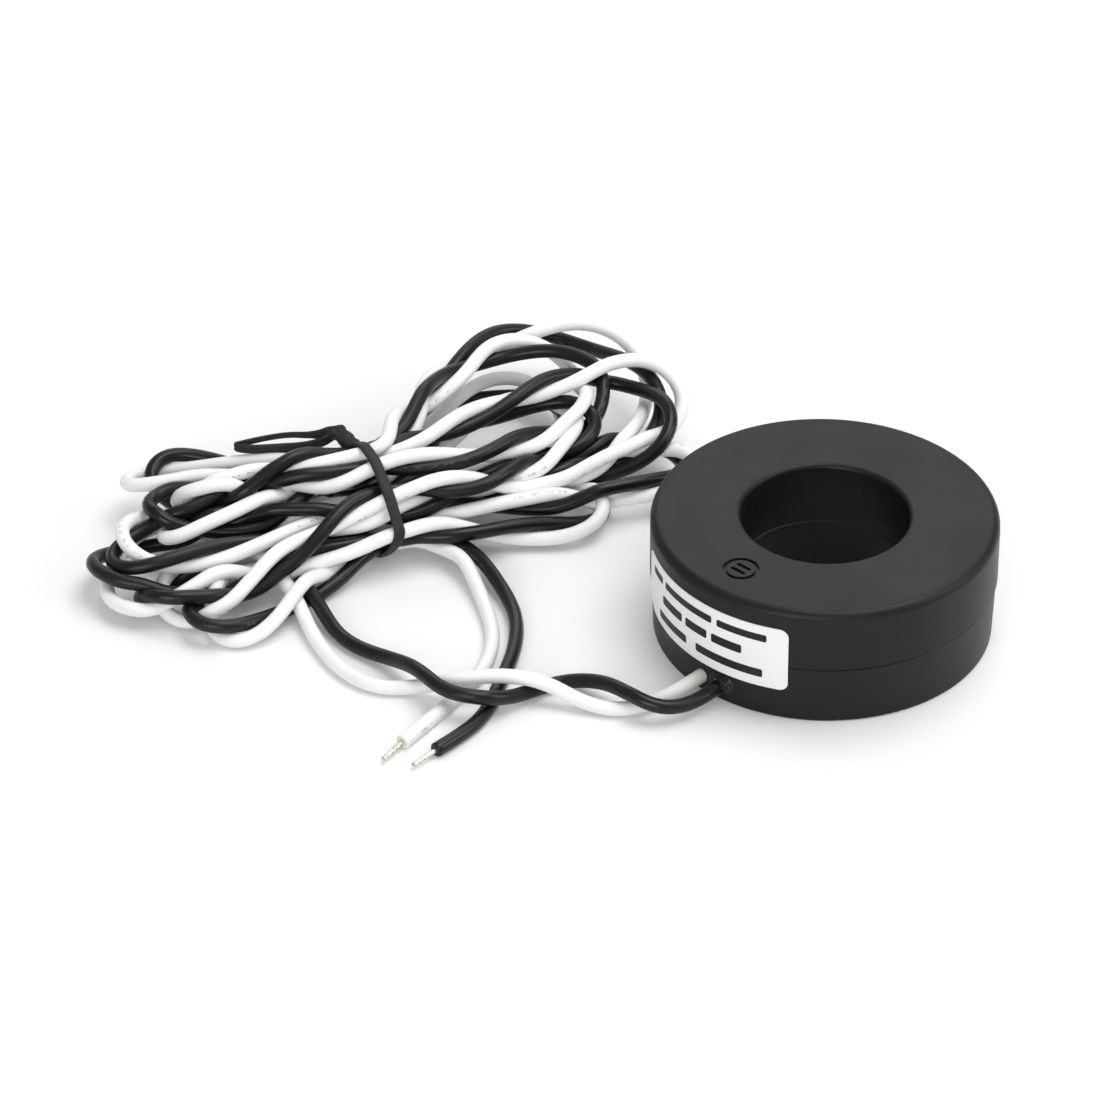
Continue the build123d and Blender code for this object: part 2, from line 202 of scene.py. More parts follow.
# Each fold: heading and reach from the tie, half width, height at its incoming side, at its
# end and at its outgoing side, and how far the pair opens at its end.
folds = [
    (180, 34.0, 4.4, 5.0, 5.0, 5.5, 0.4),
    (54, 44.0, 12.0, 3.0, 4.0, 4.0, 0.6),
    (212, 42.0, 6.0, 2.4, 3.0, 3.4, 0.4),
    (30, 54.0, 9.0, 6.0, 9.5, 12.0, 1.8),
    (167, 41.5, 3.8, 7.6, 6.4, 6.8, 0.6),
    (47, 47.0, 12.5, 10.0, 11.0, 11.5, 0.8),
    (190, 37.5, 3.8, 8.0, 7.5, 7.5, 0.4),
    (45, 56.5, 17.5, 5.0, 9.6, 10.0, 1.0),
    (179, 32.5, 3.8, 7.4, 7.0, 7.2, 0.4),
    (36, 41.0, 8.0, 8.0, 9.0, 9.4, 0.5),
    (197, 43.5, 5.6, 7.0, 6.5, 6.5, 0.4),
    (16, 52.5, 6.5, 5.6, 4.8, 5.4, 0.5),
    (201, 46.0, 9.0, 4.5, 4.2, 3.6, 0.8),
    (9, 38.0, 6.8, 2.6, 3.0, 3.5, 0.3),
    (226, 38.5, 5.8, 2.6, 2.2, 2.4, 0.4),
]
side_shares = (0.04, 0.2, 0.38, 0.56, 0.74, 0.92)  # where along a fold's side its points are
end_angles = (72, 36, 0, -36, -72)  # and where round its end, from its heading
side_swell = 1.3  # power by which the sides draw apart from the tie on
turn_share, turn_strength = 0.6, 0.8  # of a side, where it turns out of the tie's heading
slot_share = 0.8  # of a side, where it leaves the line and height of its slot
end_swell = 1.05  # an end's size in half widths
end_tilt = 0.8  # how far an end's height follows the heights of its sides

# The pair's line before the first fold and after the last: x, y, height and opening.
pair_start = [(-84.0, 11.5, 3.0, 0.6)]
pair_end = [(-62.5, 18.6, 4.2, 0.2), (-59.8, 20.6, 4.8, 0.4)]
points_left_out = 4  # of the first fold, which the pair joins near its end

pair_step = 1.25  # between the points of a line while it is being laid
pair_lowest = wire * 1.02  # height of the pair's line when one wire is under the other
# Slow bends of the pair's line, sideways and up: size, waves and start.
sways = ((0.45, 353, 0.0), (0.6, 217, 1.0))
rises = ((0.3, 289, 2.0), (0.3, 171, 0.5))

twist_pitch = 34.0  # length of the pair's full turn
twist_start = math.radians(-45)
uneven_twist, uneven_length = 0.9, 47.0  # radians that the twist runs ahead, over this length
pair_radius = 1.12  # from the pair's line to each wire's centre, where it is closed
closed_reach, opening_reach = 9, 14  # from the tie: it is closed, and then it opens
loose_gap, loose_wave, loose_length, loose_start = 0.5, 0.25, 23.0, 1.0  # in the open pair


def lifted(route):
    """The route with heights of the wire's centre."""
    return [(x, y, floor_gap + lift) for x, y, lift in route]


def fold_points(fold, slot_in, slot_out):
    """Control points of the pair's line from the tie, round one fold and back to the tie, and
    how far the pair is opened at each."""
    direction, reach, width, height_in, height_end, height_out, opening = fold
    ahead, beside = heading(direction), heading(direction - 90)
    straight = 1 - width / reach
    out_of_tie = tie_heading if direction < 90 else tie_heading + 180

    def on_side(share, side, slot, height):
        swell = math.sin(share * math.pi / 2) ** side_swell * width
        blend = smooth(share / slot_share)
        turned = (out_of_tie - direction) * (1 - smooth(share / turn_share)) * turn_strength
        spot = tie_place + heading(direction + turned) * reach * straight * share
        spot = spot + beside * side * swell + tie_back * slot[0] * (1 - blend)
        spot[2] = slot[1] * (1 - blend) + height * blend
        return (*spot, 0.0)

    points = [on_side(share, 1, slot_in, height_in) for share in side_shares]
    for angle in np.radians(end_angles):
        lean = math.sin(angle)
        spot = tie_place + ahead * (reach * straight + width * end_swell * math.cos(angle))
        spot = spot + beside * width * end_swell * lean
        side_height = height_in if lean > 0 else height_out
        spot[2] = height_end + abs(lean) * (side_height - height_end) * end_tilt
        points.append((*spot, opening * math.cos(angle)))
    points += [on_side(share, -1, slot_out, height_out) for share in reversed(side_shares)]
    return points


def pair_route():
    """Control points of the pair's own line through the whole hank."""
    points = []
    for number, fold in enumerate(folds):
        slot_in = tie_slots[number - 1] if number else first_slot
        new = fold_points(fold, slot_in, tie_slots[number])
        points += new if number else new[points_left_out:]
    return pair_start + points + pair_end


def wander(line):
    """The line with slow bends of its own, so that no two runs lie alike."""
    share = np.arange(len(line)) / len(line)
    ahead = unit_rows(np.gradient(line, axis=0))
    left = np.stack([-ahead[:, 1], ahead[:, 0], np.zeros(len(line))], axis=1)
    sway = sum(size * np.sin(share * waves + start) for size, waves, start in sways)
    rise = sum(size * np.sin(share * waves + start) for size, waves, start in rises)
    line = line + left * sway[:, None]
    line[:, 2] += rise
    return line


def strands(line, opened):
    """The two wires of the pair, turned about its line."""
    ahead = unit_rows(np.gradient(line, axis=0))
    across = unit_rows(np.cross(ahead, upward))
    up = np.cross(across, ahead)
    along = np.arange(len(line)) * pair_step
    angle = twist_start + 2 * math.pi * along / twist_pitch
    angle = angle + uneven_twist * np.sin(along / uneven_length)
    from_tie = np.linalg.norm(line - tie_middle, axis=1)
    wave = loose_gap + loose_wave * np.sin(along / loose_length + loose_start)
    loose = np.clip((from_tie - closed_reach) / opening_reach, 0, 1) * wave
    radius = pair_radius + opened + loose
    side = radius[:, None] * (np.cos(angle)[:, None] * across + np.sin(angle)[:, None] * up)
    return line - side, line + side


# ------------ settling of the cords

settle_rounds, quick_rounds = 400, 60
least_apart = wire * 1.01  # of two wires' centres
search_reach, search_every = wire * 1.7, 6  # for points near each other, in rounds
own_neighbours = 5  # points along one wire that are always near each other
push_strength, length_strength, home_strength = 0.5, 0.6, 0.006  # shares mended at a time
length_passes = 2
tightest = 6.0  # radius of the bends that the wires keep to where they have room
# How bends are eased: over how many points, how much anywhere, and how much more if sharp.
easing = ((1, 0.25, 0.7), (3, 0.0, 0.35))
tie_half_width, tie_half_height = 8.8, 6.9  # of the room for the wires' centres in the tie
hold_strength, hold_level, hold_fade = 0.5, 1.3, 4.5  # of the tie, fading away from it
strap_lift, strap_half = 0.7, 2  # how high the strap holds the wires on it, and its half width
tiny = 1e-9


def settle(lines, fixed, rounds):
    """Push wires that lie in each other apart, keeping their lengths, until they only touch."""
    place = np.concatenate(lines)
    owner = np.concatenate([np.full(len(line), k) for k, line in enumerate(lines)])
    order = np.concatenate([np.arange(len(line)) for line in lines])
    weight = np.where(np.concatenate(fixed), 0.0, 1.0)
    home = place.copy()
    joined = np.flatnonzero(owner[:-1] == owner[1:])
    rest = np.linalg.norm(place[joined + 1] - place[joined], axis=1)
    bends = []
    for reach, always, when_sharp in easing:
        middle = np.arange(reach, len(place) - reach)
        middle = middle[owner[middle - reach] == owner[middle + reach]]
        bends.append((reach, middle, always, when_sharp))
    for number in range(rounds):
        if number % search_every == 0:
            first, second = near_pairs(place, owner, order)
        for bend in bends:
            ease(place, weight, *bend)
        place += home_strength * (home - place) * weight[:, None]
        push(place, weight, first, second)
        hold(place, weight)
        for _ in range(length_passes):
            keep_lengths(place, weight, joined, rest)
        keep_up(place, weight)
    return [place[owner == k] for k in range(len(lines))]


def near_pairs(place, owner, order):
    """Pairs of points of different wires, or far apart along one wire, that are near each other."""
    tree = KDTree(len(place))
    for index, spot in enumerate(place):
        tree.insert(spot, index)
    tree.balance()
    first, second = [], []
    for index, spot in enumerate(place):
        for _, other, _ in tree.find_range(spot, search_reach):
            if other <= index:
                continue
            if owner[index] == owner[other] and abs(order[index] - order[other]) < own_neighbours:
                continue
            first.append(index)
            second.append(other)
    return np.array(first), np.array(second)


def ease(place, weight, reach, middle, always, when_sharp):
    """Move points towards the middle of their neighbours, the more the sharper the bend."""
    limit = (pair_step * reach) ** 2 / 2 / tightest
    bend = (place[middle - reach] + place[middle + reach]) / 2 - place[middle]
    sharp = np.clip(1 - limit / np.maximum(np.linalg.norm(bend, axis=1), tiny), 0, 1)
    place[middle] += (always + when_sharp * sharp[:, None]) * bend * weight[middle, None]


def push(place, weight, first, second):
    """Move each two points that are too near away from each other."""
    gap = place[second] - place[first]
    size = np.maximum(np.linalg.norm(gap, axis=1), 1e-6)
    short = np.maximum(least_apart - size, 0)
    total = np.maximum(weight[first] + weight[second], tiny)
    move = gap * (short / size / total * push_strength)[:, None]
    np.add.at(place, first, -move * weight[first, None])
    np.add.at(place, second, move * weight[second, None])


def hold(place, weight):
    """Bring the wires that pass the tie inside its loop."""
    offset = place - tie_middle
    from_tie = offset @ tie_ahead
    beside, above = offset @ tie_back, offset[:, 2]
    outside = np.hypot(beside / tie_half_width, above / tie_half_height)
    share = np.clip(hold_level - abs(from_tie) / hold_fade, 0, 1)
    share = share * np.clip(outside - 1, 0, 1) / np.maximum(outside, 1)
    pull = np.outer(beside, tie_back) + np.outer(above, upward)
    place -= hold_strength * (share * weight)[:, None] * pull


def keep_lengths(place, weight, joined, rest):
    """Bring neighbours on a wire back to the distance that they started with."""
    gap = place[joined + 1] - place[joined]
    size = np.linalg.norm(gap, axis=1)
    total = np.maximum(weight[joined] + weight[joined + 1], tiny)
    move = gap * ((size - rest) / size / total)[:, None]
    np.add.at(place, joined, move * weight[joined, None] * length_strength)
    np.add.at(place, joined + 1, -move * weight[joined + 1, None] * length_strength)


def keep_up(place, weight):
    """Keep the wires on the floor, and on the strap where it passes under them."""
    from_tie = (place - tie_middle) @ tie_ahead
    lowest = floor_gap + strap_lift * np.clip(2 - abs(from_tie) / strap_half, 0, 1)
    place[:, 2] = np.where(weight > 0, np.maximum(place[:, 2], lowest), place[:, 2])


def wires():
    """The lines of the white and the black wire, from inside the casing to their stripped ends."""
    route = np.array(pair_route())
    line = spline_line(route[:, :3], pair_step)
    opened = carried(route[:, 3], route[:, :3], len(line))
    line = wander(line)
    line[:, 2] = np.maximum(line[:, 2], pair_lowest)
    made, fixed = [], []
    leads, tails = (white_lead_route, black_lead_route), (white_tail_route, black_tail_route)
    for strand, lead, tail in zip(strands(line, opened), leads, tails):
        lead, tail = lifted(lead), lifted(tail)
        # Its ends give way to the lead and tail, and every third point leads the spline.
        wound = strand[6:-4:3]
        whole = spline_line([*lead, *wound, *tail], pair_step)
        made.append(whole)
        lead_end = np.linalg.norm(whole - lead[-2], axis=1).argmin()
        tail_start = np.linalg.norm(whole - tail[1], axis=1).argmin()
        still = np.ones(len(whole), bool)
        still[lead_end:tail_start] = False
        fixed.append(still)
    return settle(made, fixed, settle_rounds)


# ------------ wires and their ends

tube_sides = 16
path_step = 0.9
# The cut jacket's edge and dished face, by rings: back from the end, share of the radius.
cut_rings = ((0.16, 1.0), (0.05, 0.93), (0.0, 0.8), (0.06, 0.46))

strip_length = 4.8
strand_radius, strand_count = 0.36, 7
strand_groove, strand_ridge = 0.03, 0.045  # below the radius between strands, and up again on them
strand_turn = 4.2  # radians that the strands turn along the stripped end
strand_start, strand_step = -0.5, 0.12  # they start inside the jacket
tip_length = 0.3
tip_rings = np.array([0.24, 0.12, 0.05, 0.0])  # back from the tip
tip_least = 0.02  # share of the radius left at the tip, squared
strand_droop = 0.05  # for each mm of length


def ring_axes(line):
    """Two directions across the line at each of its points, turning as little as they can."""
    ahead = unit_rows(np.gradient(line, axis=0))
    side = np.cross(ahead[0], upward)
    sides = []
    for direction in ahead:
        side = side - direction * side.dot(direction)
        side = side / np.linalg.norm(side)
        sides.append(side)
    sides = np.array(sides)
    return sides, np.cross(ahead, sides)


def tube(name, line, radius):
    """A closed round tube along a line, whose last rings round its cut end. Its UV map has the
    distance along it in metres and the share round it."""
    rings, sides = len(line) + len(cut_rings) - 1, tube_sides
    at = np.minimum(np.arange(rings), len(line) - 1)
    across, up = (axis[at] for axis in ring_axes(line))
    line, radii = line[at], np.full(rings, float(radius))
    first = rings - len(cut_rings)
    cut = line[first] - line[first - 1]
    cut /= np.linalg.norm(cut)
    for number, (back, share) in enumerate(cut_rings):
        line[first + number] -= cut * back
        radii[first + number] *= share
    angles = np.arange(sides) * 2 * math.pi / sides
    round_it = np.cos(angles)[None, :, None] * across[:, None]
    round_it = round_it + np.sin(angles)[None, :, None] * up[:, None]
    vertices = (line[:, None] + radii[:, None, None] * round_it).reshape(-1, 3)
    vertices = np.concatenate([vertices, line[:1], line[-1:]])
    faces = []
    for ring in range(rings - 1):
        for k in range(sides):
            a, b = ring * sides + k, ring * sides + (k + 1) % sides
            faces.append((a, b, b + sides, a + sides))
    last, ends = (rings - 1) * sides, rings * sides
    for k in range(sides):
        faces.append((ends, (k + 1) % sides, k))
        faces.append((ends + 1, last + k, last + (k + 1) % sides))
    thing = mesh_object(name, vertices, faces)
    along = travelled(line)
    layer = thing.data.uv_layers.new(name="along")
    for polygon in thing.data.polygons:
        wraps = {v % sides for v in polygon.vertices if v < ends}
        for loop, vertex in zip(polygon.loop_indices, polygon.vertices):
            if vertex >= ends:
                spot = along[0] if vertex == ends else along[-1]
                layer.data[loop].uv = (spot * MM, 0.0)
                continue
            share = (vertex % sides) / sides
            if share == 0 and sides - 1 in wraps:
                share = 1.0
            layer.data[loop].uv = (along[vertex // sides] * MM, share)
    return thing


def stripped_end(name, line):
    """The twisted, tinned strands that stand out of a wire's cut jacket."""
    ahead = line[-1] - line[-4]
    ahead[2] = 0
    ahead /= np.linalg.norm(ahead)
    across = np.cross(ahead, upward)
    along = np.arange(strand_start, strip_length - tip_length, strand_step)
    along = np.concatenate([along, strip_length - tip_rings])
    sides = 6 * strand_count
    vertices = []
    for distance in along:
        from_tip = (strip_length - distance) / tip_length
        rounded = min(1.0, math.sqrt(max(tip_least, from_tip)))
        droop = np.array([0, 0, strand_droop * max(distance, 0)])
        centre = line[-1] + ahead * distance - droop
        turned = distance / strip_length * strand_turn
        for k in range(sides):
            angle = 2 * math.pi * k / sides
            strand = abs(math.cos(strand_count / 2 * (angle - turned)))
            size = (strand_radius - strand_groove + strand_ridge * strand) * rounded
            out = math.cos(angle) * across + math.sin(angle) * upward
            vertices.append(centre + size * out)
    faces = grid_faces(len(along), sides, True) + end_faces(len(along), sides)
    return mesh_object(name, vertices, faces)


# ------------ tie

# The band's section: places across its width and its thickness.
band_profile = [
    (-0.86, -0.1), (-0.9, 0.08), (-0.78, 0.27), (-0.55, 0.34), (-0.3, 0.25), (0.0, 0.14),
    (0.3, 0.25), (0.55, 0.34), (0.78, 0.27), (0.9, 0.08), (0.86, -0.1), (0.5, -0.26),
    (0.0, -0.22), (-0.5, -0.26),
]
crossing_reach = 25  # from the tie's middle, within which a wire passes it
strap_gap = 0.36  # from the wires' jackets to the band's line
strap_angles = np.arange(0, 360, 5)
strap_step, strap_smoothing = 0.45, 6
strap_lean, lean_reach = 2.6, 9  # along the hank at its lower front, and how it starts

knot_side = 0.85  # how far to the back of the strap's top the knot is
knot_foot = (0.3, -0.5, -0.4)  # from the strap's point there
knot_rise = np.array([-0.68, 0.32, 0.56])  # the way that the twist points
knot_radius, knot_points, knot_climb = 1.02, 17, 0.25
knot_start, knot_turn = 20, 25  # angles of its first point and from point to point
tail_step = 0.3
tail_gap, tail_reach = 0.5, 2.2  # above the wires, and how near beside it they count
tail_smoothing = 3
# The tail loop from the knot's tip: out along its lower side, round its end and back along the
# upper side. Each point is measured from the strap's point at the knot, and has the direction
# of the band's width.
tail_points = [
    ((-3.9, 1.0, 0.1), (0, -0.1, 1.0)), ((-5.8, 0.8, -0.8), (0, -0.1, 1.0)),
    ((-8.2, 0.6, -1.4), (0, -0.1, 1.0)), ((-11.6, 0.6, -1.9), (0, -0.1, 1.0)),
    ((-15.4, 0.8, -2.0), (0, -0.2, 0.98)), ((-18.0, 1.7, -2.2), (0, -0.3, 0.95)),
    ((-18.7, 2.5, -2.1), (0, -0.43, 0.9)), ((-17.4, 3.3, -1.9), (0, -0.5, 0.86)),
    ((-14.2, 3.9, -1.4), (0, -0.6, 0.8)), ((-10.4, 3.8, -0.6), (0, -0.6, 0.8)),
    ((-7.0, 3.0, -0.2), (0, -0.5, 0.86)), ((-4.6, 2.0, 0.6), (0, -0.2, 0.9)),
]


def ribbon(name, path, wide, closed):
    """A flat tie band with a raised edge each side, swept along a path. Wide is where its width
    points."""
    if closed:
        ahead = np.roll(path, -1, axis=0) - np.roll(path, 1, axis=0)
    else:
        ahead = np.gradient(path, axis=0)
    ahead = unit_rows(ahead)
    wide = unit_rows(wide - ahead * (wide * ahead).sum(axis=1)[:, None])
    out = np.cross(wide, ahead)
    rings = [path + w * wide + t * out for w, t in band_profile]
    vertices = np.stack(rings, axis=1).reshape(-1, 3)
    sides = len(band_profile)
    faces = grid_faces(len(path), sides, True)
    if closed:
        last = (len(path) - 1) * sides
        faces += [(last + k, k, (k + 1) % sides, last + (k + 1) % sides) for k in range(sides)]
    else:
        faces += end_faces(len(path), sides)
    return mesh_object(name, vertices, faces)


def wires_at_tie(lines):
    """Where the wires cross the tie's plane: distance towards the back, and height."""
    spots = []
    for line in lines:
        offset = line - tie_middle
        side = offset @ tie_ahead
        crosses = side[:-1] * side[1:] <= 0
        near = crosses & (np.linalg.norm(offset[:-1], axis=1) < crossing_reach)
        for k in np.flatnonzero(near):
            share = side[k] / (side[k] - side[k + 1])
            spot = offset[k] + (offset[k + 1] - offset[k]) * share
            spots.append((spot @ tie_back, spot[2]))
    return np.array(spots)


def strap_loop(lines):
    """The band's closed line round all the wires."""
    spots = wires_at_tie(lines)
    loop = []
    for angle in strap_angles:
        out = np.array([math.cos(math.radians(angle)), math.sin(math.radians(angle))])
        loop.append(spots[(spots @ out).argmax()] + out * (wire / 2 + strap_gap))
    loop = spaced(np.array([(0, *spot) for spot in loop + loop[:1]]), strap_step)[:-1, 1:]
    for _ in range(strap_smoothing):
        loop = loop * 0.5 + (np.roll(loop, 1, axis=0) + np.roll(loop, -1, axis=0)) * 0.25
    beside, above = loop.T
    lean = -strap_lean * np.clip(-beside / lean_reach, 0, 1) * np.clip(-above / lean_reach, 0, 1)
    strap = tie_middle + np.outer(beside, tie_back) + np.outer(above, upward)
    return strap + np.outer(lean, tie_ahead)


def top_of_wires(spot, lines):
    """Height of the highest wire under a spot."""
    tops = [line[np.hypot(*(line[:, :2] - spot[:2]).T) < tail_reach][:, 2] for line in lines]
    return max([part.max() for part in tops if len(part)], default=0.0) + wire / 2


def knot_and_tail(strap, lines):
    """The band's twisted ends: up round each other, then out as one long narrow loop."""
    high = strap[(strap @ (tie_back * knot_side + upward)).argmax()]
    foot = high + knot_foot
    rise = knot_rise / np.linalg.norm(knot_rise)
    one = np.cross(rise, upward)
    one /= np.linalg.norm(one)
    two = np.cross(rise, one)
    helix = []
    for number in range(knot_points):
        angle = math.radians(knot_start + number * knot_turn)
        out = math.cos(angle) * one + math.sin(angle) * two
        beside = -math.sin(angle) * one + math.cos(angle) * two
        helix.append((rise * (number * knot_climb), out * knot_radius, beside))
    up = [(foot + along + out, beside) for along, out, beside in helix]
    down = [(foot + along - out, -beside) for along, out, beside in reversed(helix)]
    spots = [high + np.array(place) for place, _ in tail_points]
    needs = [max(0.0, top_of_wires(spot, lines) + tail_gap - spot[2]) for spot in spots]
    for _ in range(tail_smoothing):
        near = np.concatenate([needs[:1], needs, needs[-1:]])
        needs = np.maximum(needs, (near[:-2] + near[2:]) / 2)
    wides = [np.array(wide, float) for _, wide in tail_points]
    tail = [(spot + (0, 0, need), wide) for spot, need, wide in zip(spots, needs, wides)]
    points = up + tail + down
    spots = np.array([spot for spot, _ in points])
    path = spline_line(spots, tail_step)
    wides = np.array([wide for _, wide in points])
    for k in range(1, len(wides)):
        if wides[k].dot(wides[k - 1]) < 0:
            wides[k] = -wides[k]
    wide = np.stack([carried(wides[:, k], spots, len(path)) for k in range(3)], axis=1)
    return ribbon("tie_tail", path, wide, False)


# ------------ making of the cords and the tie

white_line, black_line = wires()
tie_pieces = []
strap_line = strap_loop((white_line, black_line))
strap_wide = np.tile(tie_ahead, (len(strap_line), 1))
tie_pieces.append(ribbon("tie_strap", strap_line, strap_wide, True))
tie_pieces.append(knot_and_tail(strap_line, (white_line, black_line)))
for piece in tie_pieces:
    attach(piece, "root")
    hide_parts("twist_tie")
stripped_ends = []
for name, line, length, lead, tail in (
    ("white", white_line, 1.56, "white_lead", "white_tail"),
    ("black", black_line, 1.58, "black_lead", "black_tail"),
):
    path = spline_line(line[::2], path_step)
    piece = tube(name + "_wire", path, wire / 2)
    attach(piece, "root")
    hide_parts(lead, tail, "lead_hank")
    end = stripped_end(name + "_strands", path)
    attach(end, "root")
    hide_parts(name + "_conductor")
    stripped_ends.append(end)

# ------------ label

panel_column, panel_row = 1.0, 0.5  # size of a panel's faces
corner_angles = range(0, 91, 15)
sheet_corner, sheet_thickness = 1.4, 0.11
bar_corner, bar_lift, bar_thickness = 0.3, 0.02, 0.03
# Plain bars where the print is, by rows: height of the middle, height of a bar, start, then
# the lengths of bars and gaps in turn.
bar_rows = [
    (9.0, 1.25, 2.6, (3.6, 1.0, 11.2, 1.0, 8.4)),
    (5.9, 1.5, 6.4, (5.6, 0.9, 4.6, 0.9, 5.4)),
    (2.5, 1.5, 5.0, (8.0, 2.2, 12.0)),
]


def cad_spots(name):
    """A CAD node's vertices."""
    return np.array([vertex.co[:] for vertex in nodes[name].data.vertices]) / MM


def wrapped_panel(name, first, last, bottom, top, corner, lift, thickness):
    """A thin panel with rounded corners, wrapped on the label's wall. First and last are distances
    along the wall from the label's left edge."""
    ends = [corner * (1 - math.cos(math.radians(angle))) for angle in corner_angles]
    columns = max(2, round((last - first) / panel_column)) + 1
    middle = np.linspace(first + corner, last - corner, columns)
    spots = [first + end for end in ends] + list(middle[1:-1])
    spots += [last - end for end in reversed(ends)]
    rows = max(2, round((top - bottom) / panel_row)) + 1
    outer, inner = [], []
    for spot in spots:
        from_end = min(spot - first, last - spot)
        inset = corner - math.sqrt(max(0.0, corner**2 - max(0.0, corner - from_end) ** 2))
        angle = label_start + spot / label_radius
        for row in range(rows):
            height = bottom + inset + (top - bottom - 2 * inset) * row / (rows - 1)
            size = float(np.interp(height, *label_wall)) + lift
            outer.append((size * math.cos(angle), size * math.sin(angle), height))
            size -= thickness
            inner.append((size * math.cos(angle), size * math.sin(angle), height))
    count = len(outer)
    faces = [tuple(reversed(face)) for face in grid_faces(len(spots), rows, False)]
    faces += [tuple(count + k for k in reversed(face)) for face in faces]
    edge = list(range(rows)) + [rows * k + rows - 1 for k in range(1, len(spots))]
    edge += [count - rows + k for k in range(rows - 2, -1, -1)]
    edge += [rows * k for k in range(len(spots) - 2, 0, -1)]
    faces += [(b, a, count + a, count + b) for a, b in zip(edge, edge[1:] + edge[:1])]
    panel = mesh_object(name, outer + inner, faces, False)
    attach(panel, "root")
    return panel


label_spots = cad_spots("label")
label_reach = np.hypot(label_spots[:, 0], label_spots[:, 1])
label_angles = np.unwrap(np.sort(np.arctan2(label_spots[:, 1], label_spots[:, 0])))
label_start, label_radius = float(label_angles[0]), float(label_reach.max())
label_low, label_high = float(label_spots[:, 2].min()), float(label_spots[:, 2].max())
label_foot = float(label_reach[label_spots[:, 2] < label_low + 0.1].max())
label_length = float(label_angles[-1] - label_angles[0]) * label_radius
# The label's outer radius by height: it draws in below the joint of the shells.
joint = (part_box("lower_shell")[1][2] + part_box("upper_shell")[0][2]) / 2 / MM
below_joint = np.linspace(0, 1, 12)[::-1]
label_wall = (
    joint - (joint - label_low) * below_joint,
    label_radius - (label_radius - label_foot) * below_joint**1.7,
)

label_sheet = wrapped_panel(
    "label_sheet", 0.0, label_length, label_low, label_high, sheet_corner, 0.0, sheet_thickness
)
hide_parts("label")
label_bars = []
for height, size, start, steps in bar_rows:
    low = label_low + height - size / 2
    for number, step in enumerate(steps):
        if number % 2 == 0:
            bar = wrapped_panel(
                f"label_bar_{len(label_bars)}", start, start + step, low, low + size,
                bar_corner, bar_lift, bar_thickness,
            )
            label_bars.append(bar)
        start += step

# ------------ resin at the black wire's exit

resin_cells = 56
resin_half_width, resin_low, resin_height = 3.4, 0.35, 5.2
resin_sunk = 0.12  # how deep in the wall its bare edge is
resin_turn = 0.01  # radians from the seal's middle to its own
# Its two lumps: depth, place and half size across, and place and half size in height.
resin_lumps = ((1.1, -1.1, 1.75, 2.9, 1.7), (0.9, 0.7, 1.1, 3.3, 1.35))
outer_wall_reach = 25  # the lower shell's points beyond it are on its outer wall


def crumple(across, height):
    """How much deeper ridges and fine wrinkles make the resin at a place."""
    ridge = math.sin(across * 3.1 + 1.7 * math.sin(height * 2.1))
    ridge = ridge * math.sin(height * 3.9 + 1.3 * math.sin(across * 2.3))
    fine = math.sin(across * 6.1 + height * 4.3) * math.sin(height * 7.7 - across * 3.2)
    return 1 + 0.32 * ridge + 0.12 * fine


def resin_at_exit():
    """Resin that oozed out round the black wire and set in small crumpled ridges."""
    wall = cad_spots("lower_shell")
    wall_reach = np.hypot(wall[:, 0], wall[:, 1])
    heights = np.unique(wall[wall_reach > outer_wall_reach, 2].round(1))
    reaches = [wall_reach[abs(wall[:, 2] - height) < 0.06].max() for height in heights]
    vertices = []
    for row in range(resin_cells + 1):
        height = resin_low + resin_height * row / resin_cells
        size = float(np.interp(height, heights, reaches))
        for column in range(resin_cells + 1):
            across = -resin_half_width + 2 * resin_half_width * column / resin_cells
            body = 0.0
            for depth, beside, half_width, above, half_height in resin_lumps:
                away = math.hypot((across - beside) / half_width, (height - above) / half_height)
                body += depth * math.exp(-(away**2) * 2.0)
            reach = size - resin_sunk + body * crumple(across, height)
            angle = seal_angle + across / size
            vertices.append((reach * math.cos(angle), reach * math.sin(angle), height))
    columns = resin_cells + 1
    faces = [tuple(reversed(face)) for face in grid_faces(columns, columns, False)]
    lump = mesh_object("exit_resin", vertices, faces)
    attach(lump, "root")
    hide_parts("exit_seal")
    return lump


seal_box = np.array(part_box("exit_seal")) / MM
seal_angle = math.atan2(*(seal_box.mean(axis=0)[1::-1])) + resin_turn
exit_resin = resin_at_exit()

# ------------ materials, sizes in metres

# Worn print on the jackets: groups of strokes and strokes along the wire, and the shares of
# them and of the way round the wire that are printed.
print_group, group_end = 0.037, (0.36, 0.365)
print_stroke, stroke_end = 0.0024, (0.58, 0.62)
print_side, print_edge = 0.3, (0.022, 0.03)
print_strength = 0.5
stain_colour = (0.62, 0.48, 0.2)


def shader(name, colour, roughness, **settings):
    """A material with one Principled shader. Settings are its sockets, with _ for a space."""
    material = bpy.data.materials.new(name)
    material.use_nodes = True
    tree = material.node_tree
    surface = tree.nodes["Principled BSDF"]
    surface.inputs["Base Color"].default_value = (*colour, 1)
    surface.inputs["Roughness"].default_value = roughness
    for socket, value in settings.items():
        surface.inputs[socket.replace("_", " ")].default_value = value
    return material, tree, surface


def feed(tree, value, socket):
    """Link a socket to another one, or set a number or colour on it."""
    if isinstance(value, bpy.types.NodeSocket):
        tree.links.new(value, socket)
    else:
        socket.default_value = value


def node(tree, kind, **settings):
    """A node with its properties set, and its sockets set or linked."""
    made = tree.nodes.new("ShaderNode" + kind)
    for key, value in settings.items():
        if hasattr(made, key):
            setattr(made, key, value)
        else:
            feed(tree, value, made.inputs[key])
    return made


def place_of(tree, stretch=(1, 1, 1), turn=(0, 0, 0)):
    """The place on the object, in metres, stretched and turned."""
    spot = node(tree, "TexCoord").outputs["Object"]
    mapping = node(tree, "Mapping", Vector=spot, Scale=stretch, Rotation=turn)
    return mapping.outputs["Vector"]


